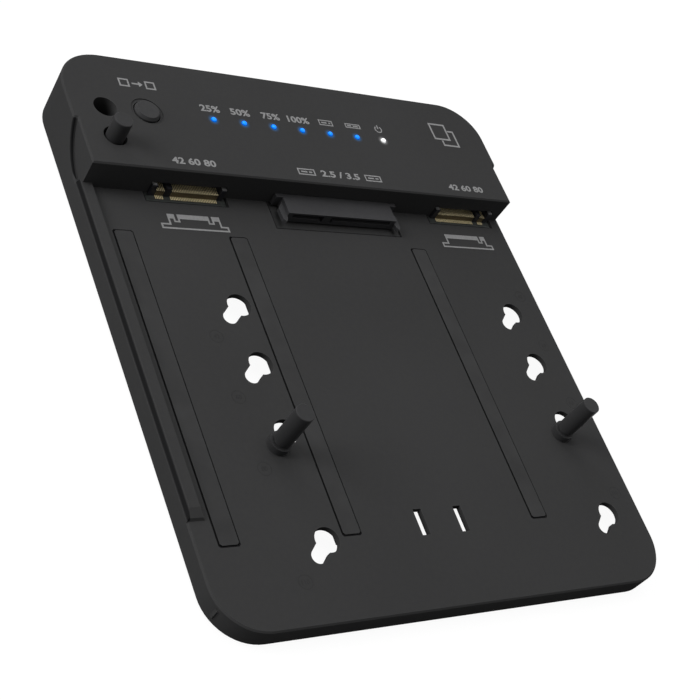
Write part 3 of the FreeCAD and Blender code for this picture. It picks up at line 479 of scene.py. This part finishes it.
# Edge signs on the deck in front of each module socket. They are printed in the same grey ink and show
# the edge of a module with its key slots, so that each socket gets the module that fits it.
def edge_sign(name, x0, x1, block0, block1, notches):
    """Plates of one sign in mm: a foot from x0 to x1 with raised ends, and a block from block0 to block1 whose
    full bars stop at each notch, with a thin line down and round below it."""
    foot, tab, bar, top, line = 31.2, 33.0, 34.65, 36.15, 0.5
    round_low, round_high = 33.5, 33.95
    rows = [(x0, x1, foot, foot + line), (x0, x0 + line, foot + line, tab - line),
            (x1 - line, x1, foot + line, tab - line)]
    rows += [(x0, block0 + line, tab - line, tab), (block1 - line, x1, tab - line, tab)]
    rows += [(block0, block0 + line, tab, bar), (block1 - line, block1, tab, bar)]
    edges = [block0] + [v for n in notches for v in n] + [block1]
    rows += [(edges[i], edges[i + 1], bar, top) for i in range(0, len(edges), 2)]
    for low, high in notches:
        rows += [(low - line, low, round_high, bar), (high, high + line, round_high, bar),
                 (low - line, high + line, round_low, round_high)]
    return plates(name, rows, DECK, grey_ink)


edge_sign("ink_edge_left", -50.05, -30.0, -47.5, -31.95, [(-45.4, -44.6), (-35.2, -34.4)])
edge_sign("ink_edge_right", 43.3, 63.1, 45.5, 61.15, [(58.5, 59.2)])


# Small round marks beside the keyholes: a ring and the module length, in the case's own plastic.
# They are films a little darker than the deck, painted shade in place of the marks' relief, because the real
# marks are only just visible.
mark_shade = moulded("mark_shade", (0.0365, 0.0365, 0.037), 0.5, 3000.0, 0.000006, edge=0.0, specular=0.0)
mark_inner, mark_outer, figure_half = 1.75, 1.95, 0.65
left_marks, right_marks = (-2.6, -20.6, -40.8, -70.7), (13.6, -4.4, -24.6, -54.6)
for side, x, mark_rows in (("left", -45.7, left_marks), ("right", 64.5, right_marks)):
    for words, y in zip(("42", "60", "80", "110"), mark_rows):
        wide = 1.7 if words != "110" else 2.2
        ring("mark_ring_%s_%s" % (side, words), x, y, mark_inner, mark_outer, DECK, mark_shade)
        figures("mark_%s_%s" % (side, words), words, x - wide / 2, x + wide / 2, y - figure_half,
                y + figure_half, DECK, mark_shade)


# Grip strips. Soft black elastomer, slightly darker than the deck, with dust on top, painted shade on
# the sides and a shallow lengthwise drawn texture.
def elastomer(name, colour, scale=1500.0, stretch=(1.0, 0.15, 1.0), roughness=0.7):
    material, tree, base = shader(name)
    dusty = tuple(c * 1.25 + 0.002 for c in colour)
    dusted = mixed(tree, ranged(tree, noise(tree, 120.0, 4.0), 0.0, 0.8), colour, dusty)
    # Painted shade: faces that don't look up get 0.3 of the rubber's colour
    side_shade = tuple(c * 0.3 for c in colour)
    upward = ranged(tree, split(tree, true_normal(tree))["Z"], 0.0, 1.0, 0.1, 0.6)
    tree.links.new(mixed(tree, upward, side_shade, dusted), base.inputs["Base Color"])
    uneven = ranged(tree, noise(tree, 300.0), roughness - 0.07, roughness + 0.07)
    tree.links.new(uneven, base.inputs["Roughness"])
    bumped(tree, base, noise(tree, scale, 3.0, stretch), 0.45, 0.00002)
    base.inputs["Specular IOR Level"].default_value = 0.05
    base.inputs["Sheen Weight"].default_value = 0.02
    return material


dress(["grip_strip_left", "grip_strip_middle", "grip_strip_right"],
      elastomer("strip_rubber", (0.032, 0.032, 0.0325)))


# Joint lines. The strips, the receptacle's tray and the sockets' pockets each end in a fine groove that
# reads as a dark line. It is a 0.02 mm band on the deck, just outside the opening's edge.
def joint_line(name, x0, x1, y0, y1, cut, left, right, front, rear, material):
    """Band between two rectangles with cut corners, x0..x1 by y0..y1 and that one grown by the four widths.
    A corner stands at the sides' ends moved in by the cut, and each is drawn low and high."""
    def path(a, b, c, d):
        return np.array([(a + cut, c), (b - cut, c), (b, c + cut), (b, d - cut),
                         (b - cut, d), (a + cut, d), (a, d - cut), (a, c + cut)])
    inner, outer = path(x0, x1, y0, y1), path(x0 - left, x1 + right, y0 - front, y1 + rear)
    low = np.full((8, 1), DECK / MM)
    high = low + film
    corners = np.stack([np.hstack([inner, low]), np.hstack([outer, low]), np.hstack([outer, high]),
                        np.hstack([inner, high])], 1).reshape(-1, 3)
    i = 4 * np.arange(8)[:, None]
    after = (i + 4) % 32
    faces = np.concatenate([np.column_stack([i + k, after + k, after + (k + 1) % 4, i + (k + 1) % 4])
                            for k in range(4)])
    return piece(name, corners * MM, faces, material)


groove = moulded("groove_shadow", (0.009, 0.009, 0.0095), 0.6, 3000.0, 0.000006, edge=0.0, specular=0.0)
strip_half, strip_front, strip_rear = 2.75, -60.05, 29.75
for side, x in (("left", -61.72), ("middle", -28.2), ("right", 32.65)):
    joint_line("strip_line_" + side, x - strip_half, x + strip_half, strip_front, strip_rear, cut=0.5,
               left=0.2, right=0.07, front=0.24, rear=0.07, material=groove)
shade = moulded("line_shadow", (0.012, 0.012, 0.0125), 0.6, 3000.0, 0.000006, edge=0.0, specular=0.0)
wall_y = 43.2
tray = [(-14.6, -14.4, 33.8, wall_y), (-14.4, 28.4, 33.75, 34.0), (28.4, 28.6, 33.8, wall_y)]
plates("tray_line", tray, DECK, shade)
pocket_inner, pocket_outer, pocket_low, pocket_high = 12.2, 12.4, 39.95, 40.15
for side, x in (("left", -39.75), ("right", 54.35)):
    pocket = [(x - pocket_outer, x - pocket_inner, pocket_low, wall_y),
              (x - pocket_inner, x + pocket_inner, pocket_low, pocket_high),
              (x + pocket_inner, x + pocket_outer, pocket_low, wall_y)]
    plates("pocket_line_" + side, pocket, DECK, shade)


# Drive posts. Turned from black acetal rod and smoother than the case. Two stand in keyholes and the third
# is the spare one in its well.
dress(["post_left", "post_right", "post_spare"],
      moulded("post_acetal", (0.034, 0.034, 0.035), 0.4, 2600.0, 0.000006, tint=0.06, edge=0.4, specular=0.05))


# Feet. Discs of soft black rubber, pressed into their seats. They have the strips' material with a finer
# grain and no drawn texture.
dress(["front_feet", "rear_feet"], elastomer("foot_rubber", (0.02, 0.02, 0.02), 2200.0, (1.0, 1.0, 1.0), 0.78))


# Screws. Black zinc steel. Each case screw gets the cross recess that its plain solid lacks: a thin
# dark cross drawn on the head's underside as a film, painted shade in place of the recess.
dress(["case_screws", "board_screws"], metal("black_zinc", (0.17, 0.17, 0.18), 0.38))
recess = moulded("recess_dark", (0.008, 0.008, 0.008), 0.6)
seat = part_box("case_screws")[0][2]
arm, half = 1.3, 0.28
cross = []
for x, y in ((-53.0, 33.0), (50.0, 33.0), (-60.5, 73.0), (60.0, 73.0)):
    cross += [(x - arm, x + arm, y - half, y + half), (x - half, x + half, y + half, y + arm),
              (x - half, x + half, y - arm, y - half)]
plates("screw_crosses", cross, seat - film * MM, recess, slot="screw_steel")


# Floor: pale and plain. Camera, glossy and transmission rays see it mostly as an even white, and a
# share of diffuse keeps the object's shadow on it.
def seen_rays(tree):
    path = add(tree, "ShaderNodeLightPath").outputs
    seen = maths(tree, "MAXIMUM", path["Is Camera Ray"], path["Is Glossy Ray"])
    return maths(tree, "MAXIMUM", seen, path["Is Transmission Ray"])


def pale_floor():
    material, tree, base = shader("pale_floor")
    base.inputs["Base Color"].default_value = (0.3, 0.3, 0.3, 1.0)
    base.inputs["Roughness"].default_value = 0.9
    base.inputs["Specular IOR Level"].default_value = 0.0
    white = add(tree, "ShaderNodeEmission", {"Color": (1.0, 1.0, 1.0, 1.0), "Strength": 1.35})
    share = maths(tree, "MULTIPLY", seen_rays(tree), 0.7)
    blend = add(tree, "ShaderNodeMixShader", {0: share, 1: base.outputs[0], 2: white.outputs[0]})
    tree.links.new(blend.outputs[0], tree.nodes["Material Output"].inputs["Surface"])
    return material


ground = bpy.data.meshes.new("floor")
ground.from_pydata([(-6, -6, 0), (6, -6, 0), (6, 6, 0), (-6, 6, 0)], [], [(0, 1, 2, 3)])
ground.materials.append(pale_floor())
floor = bpy.data.objects.new("floor", ground)
bpy.context.scene.collection.objects.link(floor)


# Soft studio light: one large lamp overhead, one to the left, a weak one behind, and an even world that
# lights the object weakly and is seen as white
def lamp(name, place, aim, size, power):
    data = bpy.data.lights.new(name, "AREA")
    data.shape = "DISK"
    data.size = size
    data.energy = power
    made = bpy.data.objects.new(name, data)
    bpy.context.scene.collection.objects.link(made)
    away = np.array(aim, float) - np.array(place, float)
    away /= np.linalg.norm(away)
    side = np.cross(away, (0.0, 0.0, 1.0))
    side /= np.linalg.norm(side)
    up = np.cross(side, away)
    turned = [[side[i], up[i], -away[i], place[i]] for i in range(3)] + [[0, 0, 0, 1]]
    made.matrix_world = mathutils.Matrix(turned)


lamp("top_lamp", place=(0.05, 0.25, 1.2), aim=(0.0, 0.0, 0.0), size=1.0, power=7.8)
lamp("left_lamp", place=(-1.0, 0.3, 0.5), aim=(-0.05, 0.0, 0.0), size=0.7, power=9.0)
lamp("rear_lamp", place=(-0.2, 1.0, 0.6), aim=(0.0, 0.0, 0.0), size=0.8, power=2.7)

world = bpy.data.worlds.new("studio")
bpy.context.scene.world = world
world.use_nodes = True
sky = world.node_tree
background = sky.nodes["Background"]
background.inputs["Color"].default_value = (1.0, 1.0, 1.0, 1.0)
sky.links.new(ranged(sky, seen_rays(sky), 0.205, 1.0, 0.0, 1.0), background.inputs["Strength"])

# Camera at the photograph's place: rows are its right, down and forward directions in the object's frame
rows = np.array([[0.8076821988436298, -0.33728422749720494, 0.4836205284649661],
                 [-0.03591163096798555, -0.8468443929026397, -0.5306269206990717],
                 [0.588523423860375, 0.4112103161290746, -0.6960935680472045]])
place = np.array([-0.213016, -0.172241, 0.238567])
picture, focal_length = 700.0, 1337.8115
centre_x, centre_y = 355.011, 445.020
lens = bpy.data.cameras.new("camera")
lens.sensor_width = 36.0
lens.lens = focal_length / picture * lens.sensor_width
lens.shift_x = -(centre_x - picture / 2) / picture
lens.shift_y = (centre_y - picture / 2) / picture
lens.clip_start = 0.01
lens.clip_end = 30.0
eye = bpy.data.objects.new("camera", lens)
bpy.context.scene.collection.objects.link(eye)
axes = np.column_stack([rows[0], -rows[1], -rows[2], place])
eye.matrix_world = mathutils.Matrix(axes.tolist() + [[0, 0, 0, 1]])
bpy.context.scene.camera = eye

bpy.context.scene.view_settings.view_transform = "Standard"
